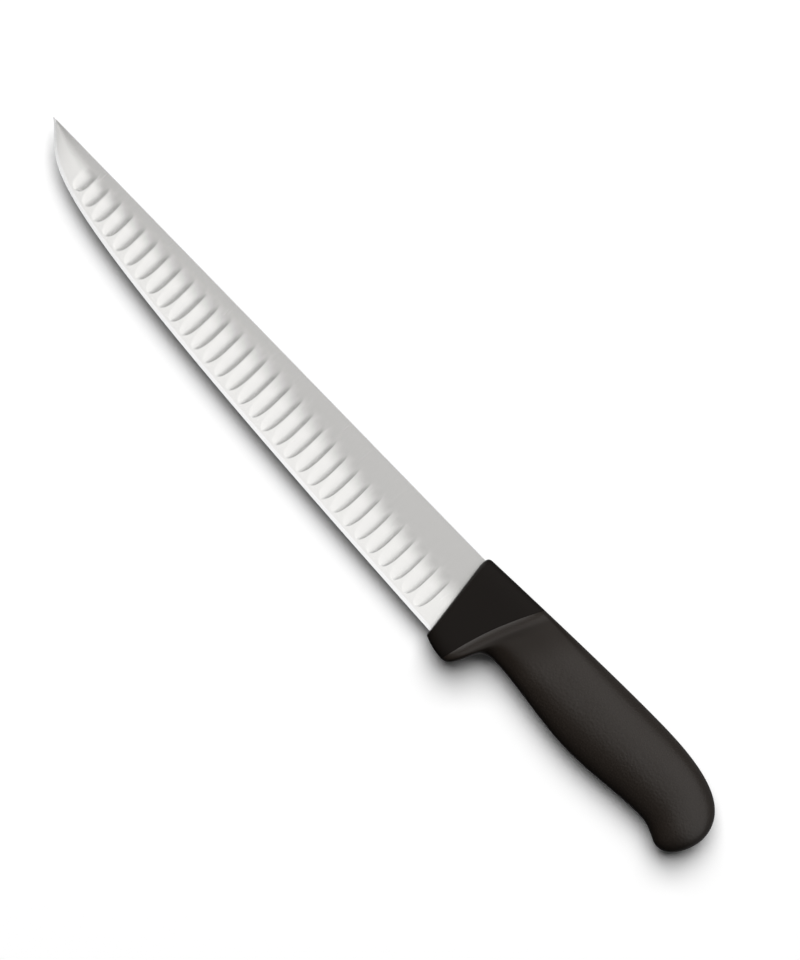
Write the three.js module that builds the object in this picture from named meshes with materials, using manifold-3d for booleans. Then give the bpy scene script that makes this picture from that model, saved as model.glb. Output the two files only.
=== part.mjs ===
// Sticking knife: a long fluted blade whose flat tang is moulded into a two-part handle.
//
// The knife lies on its side. X runs along the blade towards the tip, Y from the spine towards the
// cutting edge, and Z up, square to the flank. Sizes are in millimetres. The outlines are drawn with
// X = 0 where the handle's front meets the spine, Y = 0 on the spine and Z = 0 half way through the
// blade. The finished knife is then centred over the surface that it lies on.

import * as THREE from 'three';
import { mergeVertices } from 'three/addons/utils/BufferGeometryUtils.js';
import Module from 'manifold-3d';

// Gap that each moulded piece keeps to the piece inside or beside it
const clearance = 0.3;

// Blade
const bladeLength = 247.7; // along the spine, from the handle's front to the tip
const heelHeight = 35.8; // from the spine to the edge, where the blade enters the handle
const pointRun = 19.5; // the edge leaves the tip towards a point this far back
const pointDrop = 14.8; // and this far down
const sweepReach = 4; // the edge runs forward from the heel towards a point this far past the tip
const sweepRise = 11.4; // and this far above the heel
const heelSpine = 2.5; // thickness of the spine at the handle
const tipSpine = 1; // thickness of the spine just behind the tip
const shoulderThickness = 0.5; // thickness of the flank where the edge's bevel begins
const edgeBevel = 0.9; // height of that bevel
const heelDepth = 9.3; // how far the blade runs into the handle at its full height

// Flutes ground into both flanks
const flutePitch = 7.145; // from one flute to the next
const fluteWidth = 6.6; // along the blade
const fluteLength = 25; // square to the spine, from the middle of the blade on
const heelFluteLength = 20.5; // at the handle's front, from where they grow to that length
const shortestFlute = 10.5; // the row stops where less than this is left
const fluteDepth = 0.37; // of a full-length flute
const fluteSquareness = 2.7; // of its rim: 2 is an ellipse, and more is squarer
const firstFlute = 6.7; // from the handle's front to the middle of the first flute
const fluteAboveEdge = 1.5; // bare steel between the flutes and the edge
const fluteBelowSpine = 2.5; // least bare steel between the flutes and the spine

// Handle outline: places are measured back from the handle's front, drops down from the spine
const handleLength = 140.5;
const frontSlant = 5.2; // how much further back the front's lower corner lies
const frontRise = 1.9; // how far the back stands above the spine at the front
const cornerRun = 2.6; // rounding of the front's upper corner, along the back
const cornerDrop = 3.6; // and down the front
const backRise = 5; // how far it stands above the spine where it is highest
const backPlace = 96.3;
const chinLip = 1.8; // handle below the blade's edge at the front's lower corner
const guardDepth = 2.3; // how far the finger guard hangs below that corner
const guardPlace = 15.8;
const recessDrop = 25.3; // finger recess behind the guard
const recessPlace = 30.3;
const bellyDrop = 29.35; // palm swell
const bellyPlace = 76.3;
const waistDrop = 26.7; // hollow in front of the hooked end
const waistFromEnd = 24.2;
const hookDrop = 30.6;
const hookFromEnd = 10.7;
const endDrop = 15.5; // height of the end's furthest point

// How long each stretch of the outline keeps its direction at its start and at its end, as shares of it
const backHold = 0.7;
const backToEnd = [0.52, 0.85];
const guardToRecess = [0.5, 0.62];
const recessToBelly = [0.33, 0.33];
const bellyToWaist = [0.4, 0.33];
const waistToHook = [0.5, 0.26];
const hookToEnd = [0.6, 0.43];

// Handle thickness and sections
const cheekThickness = 16.4; // flat cheeks at the front
const lipThickness = 20.4; // grip at the crest of its front lip
const neckThickness = 17.4; // grip in the hollow behind the lip
const gripThickness = 22; // across the flat lands on the palm swell
const landDepth = 0.9; // how far those lands cut into the round of the grip
const endThickness = 20.4;
const cheekFullness = 6; // 2 is an ellipse, and more is squarer
const neckFullness = 3.2;
const gripFullness = 2.2;
const cheekWidest = 0.5; // share of the height at which the cheeks are thickest, from the back
const gripWidest = 0.42; // the same share on the palm swell
const endFullness = 0.6; // how bluntly the thickness closes at the end
const frontRound = 1; // rounding of the front's rim

// Crease: the grip's front lip, which stands proud of the cheeks
const creasePlace = 30.8; // where it meets the back, and it meets the belly at the guard
const creaseBow = 2; // how far it bows towards the blade
const lipWidth = 4.5; // over which the lip rises to its crest
const lipProud = 0.3; // least step from the cheek to the lip
const lipEase = 1.5; // how softly the lip rounds off at its crest

// Inside the handle
const gripWall = 3; // of the grip around the core
const tangCover = 3; // of the core above and below the tang
const tangTaper = 1.5; // by which the tang narrows towards its end, on each side
const tangEndWall = 13; // from the tang's end to the core's end
const lockHoles = 3; // holes in the tang, which the core fills
const lockHoleDiameter = 6;

// Facets and limits of the drawing
const edgeSteps = 30;
const dishRings = [0, 0.6, 1.08]; // the last runs past a flute's rim, so that the cut is clean
const sectionSteps = 13; // odd, so that each face has a flat facet where it is thickest
const fluteSides = 16;
const holeSteps = 10;
const frontRings = 3;
const cheekRings = 8;
const coreRings = 16;
const gripRings = 26;
const endRings = 8;
const ringCrowding = 1.6; // rings lie closer together at the front and at the lip
const searchSteps = 40; // halvings in the search for a place on an outline
const sameCorner = 1e-5; // corners closer than this are one

const steel = new THREE.MeshStandardMaterial({ color: 0xd2d1cf, metalness: 1, roughness: 0.34 });
const hardPolymer = new THREE.MeshStandardMaterial({ color: 0x26211f, metalness: 0, roughness: 0.5 });
const gripPolymer = new THREE.MeshStandardMaterial({ color: 0x302e2d, metalness: 0, roughness: 0.65 });

const wasm = await Module();
wasm.setup();

// A closed geometry as a solid that can be joined and cut
function solid(geometry) {
  const bare = geometry.clone();
  bare.deleteAttribute('normal');
  bare.deleteAttribute('uv');
  const merged = mergeVertices(bare, sameCorner);
  const triangles = [];
  for (let k = 0; k < merged.index.count; k += 3) {
    const [a, b, c] = [0, 1, 2].map((corner) => merged.index.getX(k + corner));
    if (a !== b && b !== c && c !== a) {
      triangles.push(a, b, c);
    }
  }
  return new wasm.Manifold(new wasm.Mesh({
    numProp: 3,
    vertProperties: new Float32Array(merged.attributes.position.array),
    triVerts: new Uint32Array(triangles),
  }));
}

// A solid as a named mesh
function piece(name, body, material) {
  const { vertProperties, triVerts } = body.getMesh();
  const geometry = new THREE.BufferGeometry();
  geometry.setAttribute('position', new THREE.BufferAttribute(vertProperties, 3));
  geometry.setIndex(new THREE.BufferAttribute(triVerts, 1));
  geometry.computeVertexNormals();
  const mesh = new THREE.Mesh(geometry, material);
  mesh.name = name;
  return mesh;
}

// Closed skin over a row of rings that runs towards -X. A ring starts at its back, runs down the
// upper face to its belly and returns along the lower face, so rungs from face to face close an end.
// A ring of one point is a tip.
function skin(rings) {
  const index = [];
  const starts = [];
  let count = 0;
  rings.forEach((ring) => {
    starts.push(count);
    count += ring.length;
  });
  const corner = (row, place) => starts[row] + (place % rings[row].length);
  const face = (a, b, c) => {
    if (a !== b && b !== c && c !== a) {
      index.push(a, b, c);
    }
  };
  const around = Math.max(...rings.map((ring) => ring.length));
  for (let row = 0; row + 1 < rings.length; row += 1) {
    for (let k = 0; k < around; k += 1) {
      face(corner(row, k), corner(row, k + 1), corner(row + 1, k + 1));
      face(corner(row, k), corner(row + 1, k + 1), corner(row + 1, k));
    }
  }
  const last = rings.length - 1;
  for (let k = 0; k < around / 2; k += 1) {
    face(corner(0, k), corner(0, around - k), corner(0, k + 1));
    face(corner(0, k + 1), corner(0, around - k), corner(0, around - k - 1));
    face(corner(last, k), corner(last, k + 1), corner(last, around - k));
    face(corner(last, k + 1), corner(last, around - k - 1), corner(last, around - k));
  }
  const geometry = new THREE.BufferGeometry();
  const positions = rings.flat().flatMap((point) => point.toArray());
  geometry.setAttribute('position', new THREE.Float32BufferAttribute(positions, 3));
  geometry.setIndex(index);
  return geometry;
}

// The point at a given X of a curve that runs steadily towards -X
function atX(curve, x) {
  let low = 0;
  let high = 1;
  for (let k = 0; k < searchSteps; k += 1) {
    const middle = (low + high) / 2;
    if (curve.getPoint(middle).x > x) {
      low = middle;
    } else {
      high = middle;
    }
  }
  return curve.getPoint(low);
}

// Blade

const tip = new THREE.Vector2(bladeLength, 0);
const heel = new THREE.Vector2(-heelDepth, heelHeight);
const edge = new THREE.CubicBezierCurve(
  tip,
  new THREE.Vector2(bladeLength - pointRun, pointDrop),
  new THREE.Vector2(bladeLength + sweepReach, heelHeight - sweepRise),
  heel,
);

function spineHalf(x) {
  return THREE.MathUtils.mapLinear(x, -heelDepth, bladeLength, heelSpine, tipSpine) / 2;
}

function shoulderY(height) {
  return height - Math.min(edgeBevel, height / 2);
}

// Half the blade's thickness on its flat flank, at a place and a drop below the spine
function flankHalf(x, drop) {
  const share = drop / shoulderY(atX(edge, x).y);
  return THREE.MathUtils.lerp(spineHalf(x), shoulderThickness / 2, share);
}

// The blade without flutes, grown on all sides for the slot that holds it
function bladeBody(grow) {
  const rings = [[new THREE.Vector3(tip.x + grow, tip.y, 0)]];
  for (let k = 1; k <= edgeSteps; k += 1) {
    const { x, y } = edge.getPoint(k / edgeSteps);
    const back = k === edgeSteps ? x - grow : x;
    const spine = spineHalf(x) + grow;
    const shoulder = shoulderThickness / 2 + grow;
    rings.push([
      new THREE.Vector3(back, -grow, 0),
      new THREE.Vector3(back, -grow, spine),
      new THREE.Vector3(back, shoulderY(y), shoulder),
      new THREE.Vector3(back, y + grow, 0),
      new THREE.Vector3(back, shoulderY(y), -shoulder),
      new THREE.Vector3(back, -grow, -spine),
    ]);
  }
  return solid(skin(rings));
}

// Flat tang, from inside the heel to its rounded end, with holes that the core locks into
const coreEnd = -(handleLength - waistFromEnd);
const tangFront = -heelDepth / 2;
const tangEnd = coreEnd + tangEndWall;
const tangTop = gripWall + tangCover - frontRise;
const tangBottom = recessDrop - gripWall - tangCover;

function tang(grow) {
  const top = tangTop - grow;
  const bottom = tangBottom + grow;
  const end = tangEnd - grow;
  const endRadius = (bottom - top) / 2 - tangTaper;
  const middle = (top + bottom) / 2;
  const outline = new THREE.Shape();
  outline.moveTo(tangFront, top);
  outline.lineTo(end + endRadius, top + tangTaper);
  outline.absarc(end + endRadius, middle, endRadius, -Math.PI / 2, Math.PI / 2, true);
  outline.lineTo(tangFront, bottom);
  outline.closePath();
  for (let k = 0; k < lockHoles; k += 1) {
    const hole = new THREE.Path();
    const x = THREE.MathUtils.lerp(-heelDepth, tangEnd, (k + 0.5) / lockHoles);
    hole.absarc(x, middle, lockHoleDiameter / 2 - grow, 0, Math.PI * 2, false);
    outline.holes.push(hole);
  }
  const depth = heelSpine + 2 * grow;
  const options = { depth, bevelEnabled: false, curveSegments: holeSteps };
  const geometry = new THREE.ExtrudeGeometry(outline, options);
  geometry.translate(0, 0, -depth / 2);
  return solid(geometry);
}

// A shallow dish of radius 1 and depth 1, as a grinding wheel leaves it, with a squared-off rim
function dish() {
  const profile = dishRings.map((r) => new THREE.Vector2(r, r * r - 1));
  profile.push(new THREE.Vector2(dishRings.at(-1), 1), new THREE.Vector2(0, 1));
  const geometry = new THREE.LatheGeometry(profile, fluteSides);
  const points = geometry.attributes.position;
  for (let k = 0; k < points.count; k += 1) {
    const [x, z] = [points.getX(k), points.getZ(k)];
    const square = (Math.abs(x) ** fluteSquareness + Math.abs(z) ** fluteSquareness) ** (1 / fluteSquareness);
    const grow = square > 0 ? Math.hypot(x, z) / square : 1;
    points.setX(k, x * grow);
    points.setZ(k, z * grow);
  }
  return geometry;
}

// Length of the flute at a place, where the blade is high enough for it
function fullLength(x) {
  const share = Math.min(x / (bladeLength / 2), 1);
  return THREE.MathUtils.lerp(heelFluteLength, fluteLength, share);
}

// The row of flutes on one face: side is 1 for the upper face and -1 for the lower one, whose flutes
// lie between those of the upper face so that the steel stays strong
function flutes(side) {
  const cuts = [];
  const along = new THREE.Vector3(1, 0, 0);
  let x = side > 0 ? firstFlute : firstFlute + flutePitch / 2;
  let bottom = atX(edge, x).y - fluteAboveEdge;
  while (bottom - fluteBelowSpine >= shortestFlute) {
    const top = Math.max(fluteBelowSpine, bottom - fullLength(x));
    const upper = new THREE.Vector3(x, top, side * flankHalf(x, top));
    const lower = new THREE.Vector3(x, bottom, side * flankHalf(x, bottom));
    const length = bottom - top;
    const depth = fluteDepth * Math.sqrt(length / fluteLength);
    const down = lower.clone().sub(upper).normalize();
    const out = along.clone().cross(down).multiplyScalar(side);
    const across = along.clone().cross(out);
    const place = new THREE.Matrix4().makeBasis(
      along.clone().multiplyScalar(fluteWidth / 2),
      out.multiplyScalar(depth),
      across.multiplyScalar(length / 2),
    );
    place.setPosition(upper.add(lower).multiplyScalar(0.5));
    cuts.push(solid(dish().applyMatrix4(place)));
    x += flutePitch;
    bottom = atX(edge, x).y - fluteAboveEdge;
  }
  return wasm.Manifold.union(cuts);
}

// Handle outline

// A curve that leaves one place along X and reaches the next along X
function wave(from, to, [startHold, endHold]) {
  const run = to.x - from.x;
  return new THREE.CubicBezierCurve(
    from,
    new THREE.Vector2(from.x + startHold * run, from.y),
    new THREE.Vector2(to.x - endHold * run, to.y),
    to,
  );
}

// A curve that leaves one place along X and turns to reach the handle's end along Y
function turn(from, to, [startHold, endHold]) {
  return new THREE.CubicBezierCurve(
    from,
    new THREE.Vector2(from.x + startHold * (to.x - from.x), from.y),
    new THREE.Vector2(to.x, to.y + endHold * (from.y - to.y)),
    to,
  );
}

const front = new THREE.Vector2(0, cornerDrop - frontRise);
const shoulder = new THREE.Vector2(-cornerRun, -frontRise);
const peak = new THREE.Vector2(-backPlace, -backRise);
const end = new THREE.Vector2(-handleLength, endDrop);
const chin = new THREE.Vector2(-frontSlant, heelHeight + chinLip);
const guard = new THREE.Vector2(-guardPlace, chin.y + guardDepth);
const recess = new THREE.Vector2(-recessPlace, recessDrop);
const belly = new THREE.Vector2(-bellyPlace, bellyDrop);
const waist = new THREE.Vector2(coreEnd, waistDrop);
const hook = new THREE.Vector2(-(handleLength - hookFromEnd), hookDrop);

const backLine = new THREE.CurvePath();
backLine.add(new THREE.QuadraticBezierCurve(front, new THREE.Vector2(front.x, shoulder.y), shoulder));
backLine.add(new THREE.QuadraticBezierCurve(shoulder, new THREE.Vector2(backHold * peak.x, peak.y), peak));
backLine.add(turn(peak, end, backToEnd));

const bellyLine = new THREE.CurvePath();
const underGuard = new THREE.Vector2((chin.x + guard.x) / 2, guard.y);
bellyLine.add(new THREE.QuadraticBezierCurve(chin, underGuard, guard));
bellyLine.add(wave(guard, recess, guardToRecess));
bellyLine.add(wave(recess, belly, recessToBelly));
bellyLine.add(wave(belly, waist, bellyToWaist));
bellyLine.add(wave(waist, hook, waistToHook));
bellyLine.add(turn(hook, end, hookToEnd));

// Handle sections

// One closed section: its back and belly points, the bow between them, its half thickness, its
// fullness and the share of its height where it is thickest, all drawn in by an inset
function section({ back, under, bow, half, fullness, widest, inset = 0 }) {
  const down = under.clone().sub(back).normalize();
  const top = back.clone().addScaledVector(down, inset);
  const bottom = under.clone().addScaledVector(down, -inset);
  const upperFace = [];
  const lowerFace = [];
  for (let k = 0; k <= sectionSteps; k += 1) {
    const share = (1 - Math.cos((k / sectionSteps) * Math.PI)) / 2;
    const reach = share < widest ? 1 - share / widest : (share - widest) / (1 - widest);
    const round = (half - inset) * (1 - reach ** fullness) ** (1 / fullness);
    const z = Math.min(round, gripThickness / 2 - inset);
    const middle = top.clone().lerp(bottom, share);
    const x = middle.x + 4 * bow * share * (1 - share);
    upperFace.push(new THREE.Vector3(x, middle.y, z));
    lowerFace.unshift(new THREE.Vector3(x, middle.y, -z));
  }
  return [...upperFace, ...lowerFace.slice(1, -1)];
}

// Section of the cheeks at a share of the way from the handle's front to the crease
function cheekSection(share, inset) {
  const bellyX = THREE.MathUtils.lerp(chin.x, guard.x, share);
  return section({
    back: atX(backLine, -creasePlace * share),
    under: atX(bellyLine, bellyX),
    bow: creaseBow * share,
    half: cheekThickness / 2,
    fullness: cheekFullness,
    widest: cheekWidest,
    inset,
  });
}

// Stations along the grip, from the crease to the hook. The first curve holds where each section meets
// the back and the belly and how far it bows, the second its half thickness, fullness and widest share.
const neckWidest = (cheekWidest + gripWidest) / 2;
const lipHalf = lipThickness / 2;
const swellHalf = gripThickness / 2 + landDepth;
const neckPlace = creasePlace + (recessPlace - guardPlace);
const places = new THREE.CatmullRomCurve3([
  new THREE.Vector3(-creasePlace, guard.x, creaseBow),
  new THREE.Vector3(-neckPlace, recess.x, creaseBow / 2),
  new THREE.Vector3(belly.x, belly.x, 0),
  new THREE.Vector3(waist.x, waist.x, 0),
  new THREE.Vector3(hook.x, hook.x, 0),
], false, 'catmullrom');
const shapes = new THREE.CatmullRomCurve3([
  new THREE.Vector3(lipHalf, cheekFullness, cheekWidest),
  new THREE.Vector3(neckThickness / 2, neckFullness, neckWidest),
  new THREE.Vector3(swellHalf, gripFullness, gripWidest),
  new THREE.Vector3((swellHalf + endThickness / 2) / 2, gripFullness, gripWidest),
  new THREE.Vector3(endThickness / 2, gripFullness, neckWidest),
], false, 'catmullrom');
const coreShare = 3 / 4; // the core reaches the waist, which is the fourth of the five stations

// Section of the grip at a share of the way from the crease to the hook, moved back by a gap
function gripSection(share, { inset = 0, gap = 0, lip = false }) {
  const place = places.getPoint(share);
  const shape = shapes.getPoint(share);
  const behind = (-creasePlace - place.x + guard.x - place.y) / 2;
  const rise = Math.min(behind / lipWidth, 1);
  const step = lipHalf - cheekThickness / 2 - lipProud;
  const fall = lip ? step * (1 - rise) ** lipEase : 0;
  return section({
    back: atX(backLine, place.x - gap),
    under: atX(bellyLine, place.y - gap),
    bow: place.z,
    half: shape.x - fall,
    fullness: shape.y,
    widest: shape.z,
    inset,
  });
}

// Shares along the grip, close together at the lip
function gripShares(count, last) {
  return Array.from({ length: count + 1 }, (_, k) => last * (k / count) ** ringCrowding);
}

// Smooth collar with the cheeks and the finger guard
function collar() {
  const rings = [];
  for (let k = 0; k <= frontRings; k += 1) {
    const angle = (k / frontRings) * (Math.PI / 2);
    const share = (frontRound * (1 - Math.cos(angle))) / creasePlace;
    rings.push(cheekSection(share, frontRound * (1 - Math.sin(angle))));
  }
  for (let k = 1; k <= cheekRings; k += 1) {
    const share = (k / cheekRings) ** ringCrowding;
    rings.push(cheekSection(THREE.MathUtils.lerp(frontRound / creasePlace, 1, share), 0));
  }
  return solid(skin(rings));
}

// Inner bar of the core, from inside the collar to the waist, grown for the grip's cavity
function innerBar(grow) {
  const inset = gripWall - grow;
  const shares = gripShares(coreRings, coreShare);
  const rings = shares.map((share) => gripSection(share, { inset, gap: share === coreShare ? grow : 0 }));
  const ahead = rings[0].map((point) => point.clone().add(new THREE.Vector3(heelDepth / 2, 0, 0)));
  return solid(skin([ahead, ...rings]));
}

function grip() {
  const shares = gripShares(gripRings, 1);
  const rings = shares.map((share) => gripSection(share, { gap: clearance * (1 - share), lip: true }));
  for (let k = 1; k <= endRings; k += 1) {
    const angle = (k / endRings) * (Math.PI / 2);
    const x = THREE.MathUtils.lerp(hook.x, end.x, Math.sin(angle));
    const round = section({
      back: atX(backLine, x),
      under: atX(bellyLine, x),
      bow: 0,
      half: (endThickness / 2) * Math.cos(angle) ** endFullness,
      fullness: gripFullness,
      widest: neckWidest,
    });
    rings.push(k < endRings ? round : [new THREE.Vector3(end.x, end.y, 0)]);
  }
  return solid(skin(rings));
}

// Assembly
const bladeSolid = bladeBody(0).add(tang(0)).subtract(flutes(1)).subtract(flutes(-1));
const slot = bladeBody(clearance).add(tang(clearance));
const coreSolid = collar().add(innerBar(0)).subtract(slot);
const gripSolid = grip().subtract(innerBar(clearance));

const pieces = new THREE.Group();
pieces.add(
  piece('blade', bladeSolid, steel),
  piece('handle_core', coreSolid, hardPolymer),
  piece('handle_grip', gripSolid, gripPolymer),
);

// The origin lies under the middle of the knife, on the surface it rests on
const extent = new THREE.Box3().setFromObject(pieces);
const centre = extent.getCenter(new THREE.Vector3());
pieces.position.set(-centre.x, -centre.y, -extent.min.z);

const knife = new THREE.Group();
knife.add(pieces);
export default knife;
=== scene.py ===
"""Sticking knife: the looks of a fluted blade whose flat tang is moulded into a two-part handle.

The knife lies on its side. X runs along the blade towards the tip, Y from the spine towards the cutting
edge, and Z up, square to the flank. Outlines are drawn in metres from the place where the handle's front
meets the spine, half way through the blade, and each finished mesh is moved from there into the frame.
"""

import math

import bmesh
import bpy
import numpy as np
from bpy.props import FloatProperty, FloatVectorProperty, IntProperty, PointerProperty
from mathutils import Matrix, Vector


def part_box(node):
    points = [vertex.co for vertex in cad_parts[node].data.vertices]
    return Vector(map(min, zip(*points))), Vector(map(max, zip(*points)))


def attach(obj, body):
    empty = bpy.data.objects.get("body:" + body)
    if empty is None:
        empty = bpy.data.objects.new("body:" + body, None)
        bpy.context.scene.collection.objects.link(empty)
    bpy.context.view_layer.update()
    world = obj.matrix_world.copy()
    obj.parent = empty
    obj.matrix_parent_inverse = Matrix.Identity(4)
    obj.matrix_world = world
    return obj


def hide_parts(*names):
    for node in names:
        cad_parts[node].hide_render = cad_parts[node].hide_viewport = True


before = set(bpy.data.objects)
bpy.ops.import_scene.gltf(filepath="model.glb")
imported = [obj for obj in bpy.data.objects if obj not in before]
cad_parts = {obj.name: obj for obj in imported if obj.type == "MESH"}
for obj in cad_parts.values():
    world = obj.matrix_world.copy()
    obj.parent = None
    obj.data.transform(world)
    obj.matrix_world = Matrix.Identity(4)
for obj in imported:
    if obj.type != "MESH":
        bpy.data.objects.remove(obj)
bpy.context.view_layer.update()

bl_info = {
    "name": "Sticking Knife",
    "version": (1, 0, 0),
    "blender": (4, 5, 0),
    "location": "View3D > Sidebar > Knife",
    "description": "Builds a fluted sticking knife with a moulded handle around its CAD frame",
    "category": "Object",
}

MM = 0.001
SHARP_ANGLE = math.radians(7)  # a flute's rim, the spine's corners and the bevel stay crisp
CURVE_STEPS = 240  # points along each stretch of an outline
EDGE_STEPS = 220  # sections along the blade
FLANK_STEPS = 14  # points from the spine to the bevel
FACE_STEPS = 56  # points from the back to the belly, on each face of the handle
TANG_END_STEPS = 24
LOCK_HOLE_STEPS = 32


# Sizes and colours


def length(name, millimetres, description):
    """A length property, given in millimetres."""
    return FloatProperty(name=name, description=description, default=millimetres * MM, min=0,
                         unit="LENGTH", precision=4)


def linear(code):
    """A #RRGGBB colour as linear RGBA."""
    parts = [int(code[k:k + 2], 16) / 255 for k in (1, 3, 5)]
    return [p / 12.92 if p <= 0.04045 else ((p + 0.055) / 1.055) ** 2.4 for p in parts] + [1.0]


def colour(name, code, description):
    """A colour property, given as a #RRGGBB code."""
    return FloatVectorProperty(name=name, description=description, default=linear(code), size=4,
                               min=0, max=1, subtype="COLOR")


class KNIFE_PG_blade(bpy.types.PropertyGroup):
    """Sizes of the blade and its tang"""

    length: length("Length", 247.7, "Along the spine, from the handle's front to the tip")
    heel_height: length("Heel height", 35.8, "From the spine to the edge at the handle")
    point_run: length("Point run", 19.5, "The edge leaves the tip towards a point this far behind it")
    point_drop: length("Point drop", 14.8, "The edge leaves the tip towards a point this far below it")
    sweep_reach: length("Sweep reach", 4, "The edge leaves the heel towards a point this far past the tip")
    sweep_rise: length("Sweep rise", 11.4, "The edge leaves the heel towards a point this far above it")
    heel_spine: length("Spine at heel", 2.5, "Thickness of the spine at the handle")
    tip_spine: length("Spine at tip", 1, "Thickness of the spine behind the tip")
    point_taper: length("Point taper", 18, "Length over which the spine thins to the point")
    spine_round: length("Spine rounding", 0.2, "Radius of the spine's corners")
    crown: length("Crown", 0.1, "How far each flank swells between the spine and the edge")
    shoulder: length("Shoulder", 0.1, "Thickness where the edge's bevel begins")
    bevel: length("Bevel", 0.9, "Height of the edge's bevel")
    heel_depth: length("Heel depth", 9.3, "How far the blade runs into the handle at its full height")
    tang_top: length("Tang top", 4.1, "From the spine down to the tang")
    tang_bottom: length("Tang bottom", 19.3, "From the spine down to the tang's lower side")
    tang_length: length("Tang length", 103.3, "From the handle's front to the tang's end")
    tang_taper: length("Tang taper", 1.5, "By which the tang narrows on each side")
    lock_hole: length("Locking hole", 6, "Diameter of the holes that the moulding fills")
    lock_holes: IntProperty(name="Locking holes", description="Number of holes in the tang", default=3)


class KNIFE_PG_flutes(bpy.types.PropertyGroup):
    """Sizes of the flutes ground into both flanks"""

    pitch: length("Pitch", 7.145, "From one flute to the next")
    width: length("Width", 6.6, "Along the blade")
    length: length("Length", 25, "Square to the spine, from the middle of the blade on")
    heel_length: length("Heel length", 20.5, "Length at the handle, from where the flutes grow")
    shortest: length("Shortest", 10.5, "The row stops where less than this is left")
    squareness: FloatProperty(name="Squareness", description="Of the rim towards the edge: 2 is an ellipse, "
                              "more is squarer", default=2.7, min=2)
    top_squareness: FloatProperty(name="Top squareness", description="Of the rim towards the spine",
                                  default=4, min=2)
    depth: length("Depth", 0.37, "Depth of a full-length flute")
    first: length("First", 6.7, "From the handle's front to the middle of the first flute")
    above_edge: length("Above edge", 1.5, "Bare steel between the flutes and the edge")
    below_spine: length("Below spine", 2.5, "Least bare steel between the flutes and the spine")


class KNIFE_PG_handle(bpy.types.PropertyGroup):
    """Sizes of the handle: places run back from its front, drops run down from the spine"""

    length: length("Length", 140.5, "From the front to the hooked end")
    front_slant: length("Front slant", 5.2, "How much further back the front's lower corner lies")
    front_rise: length("Front rise", 1.9, "How far the back stands above the spine at the front")
    corner_run: length("Corner run", 2.6, "Rounding of the front's upper corner, along the back")
    corner_drop: length("Corner drop", 3.6, "Rounding of the front's upper corner, down the front")
    back_rise: length("Back rise", 5, "How far the back stands above the spine where it is highest")
    back_place: length("Back place", 96.3, "Where the back is highest")
    chin_drop: length("Chin drop", 37.6, "The front's lower corner")
    guard_drop: length("Guard drop", 39.9, "The finger guard's lowest point")
    guard_place: length("Guard place", 15.8, "Where the guard is lowest")
    recess_drop: length("Recess drop", 25.3, "The finger recess behind the guard")
    recess_place: length("Recess place", 30.3, "Where the recess is deepest")
    belly_drop: length("Belly drop", 29.35, "The palm swell")
    belly_place: length("Belly place", 76.3, "Where the palm swells most")
    waist_drop: length("Waist drop", 26.7, "The hollow in front of the hook")
    waist_place: length("Waist place", 116.3, "Where that hollow is deepest")
    hook_drop: length("Hook drop", 30.6, "The hook's lowest point")
    hook_place: length("Hook place", 129.8, "Where the hook is lowest")
    end_drop: length("End drop", 15.5, "Height of the end's furthest point")
    cheek: length("Cheek thickness", 16.4, "Across the flat cheeks at the front")
    lip: length("Lip thickness", 20.4, "Across the crest of the grip's front lip")
    neck: length("Neck thickness", 17.4, "Across the hollow behind the lip")
    grip: length("Grip thickness", 22, "Across the palm swell")
    end: length("End thickness", 20.4, "Across the hook")
    front_round: length("Front rounding", 1, "Radius of the front's rim")
    crease_place: length("Crease place", 30.8, "Where the grip's front lip meets the back")
    crease_bow: length("Crease bow", 2, "How far the lip bows towards the blade")
    lip_width: length("Lip width", 4.5, "Over which the lip rises to its crest")
    lip_proud: length("Lip step", 0.3, "Least step from the cheek to the lip")
    wall: length("Grip wall", 3, "Wall of the grip around the core")
    seam: length("Seam", 0.05, "Gap between the two mouldings")


class KNIFE_PG_finish(bpy.types.PropertyGroup):
    """Colours of the three materials"""

    # The first two steel colours hold painted light: grey painted shade along the spine, bright painted
    # sheen towards the edge.
    steel_spine_painted_shade: colour("Steel at spine", "#C3C2C0", "Satin steel along the spine")
    steel_edge_painted_sheen: colour("Steel at edge", "#F4F3F1", "Freshly ground steel towards the edge")
    # A white painted highlight along the edge's bevel.
    steel_bevel_painted_highlight: colour("Steel bevel", "#FFFFFF", "Honed bevel of the edge")
    core: colour("Core", "#14110F", "Hard moulding of the cheeks and guard")
    grip: colour("Grip", "#1F1A16", "Grained moulding of the grip")


class KNIFE_PG_stage(bpy.types.PropertyGroup):
    """Floor, light and camera"""

    floor: colour("Floor", "#FFFFFF", "Plain pale floor")
    bounce: colour("Bounce", "#B4B4B4", "Floor colour that lights the underside of the knife")
    key_power: FloatProperty(name="Key power", description="Power of the soft key light", default=860,
                             min=0, unit="POWER")
    key_size: length("Key size", 6100, "Side of the soft key light")
    key_distance: length("Key distance", 8000, "From the knife to the key light")
    key_lean: FloatProperty(name="Key lean", description="Angle of the key light off the vertical, "
                            "over the spine", default=math.radians(23.5), subtype="ANGLE")
    key_turn: FloatProperty(name="Key turn", description="Angle of the key light towards the tip",
                            default=math.radians(20), subtype="ANGLE")
    ambient: FloatProperty(name="Ambient", description="Light from all round", default=0.05, min=0)
    room: FloatProperty(name="Room", description="Brightness of the room that gloss shows", default=1.3,
                        min=0)
    camera_distance: length("Camera distance", 1500, "From the camera to the blade")


# Frame: where the drawing's origin lies

BLADE_LOW, BLADE_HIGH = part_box("blade")
GRIP_LOW, GRIP_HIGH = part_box("handle_grip")


def place(points, blade):
    """Points of the drawing, moved into the frame."""
    origin = (BLADE_HIGH.x - blade.length, BLADE_LOW.y, (GRIP_LOW.z + GRIP_HIGH.z) / 2)
    return np.asarray(points) + np.array(origin)


# Outlines

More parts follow.
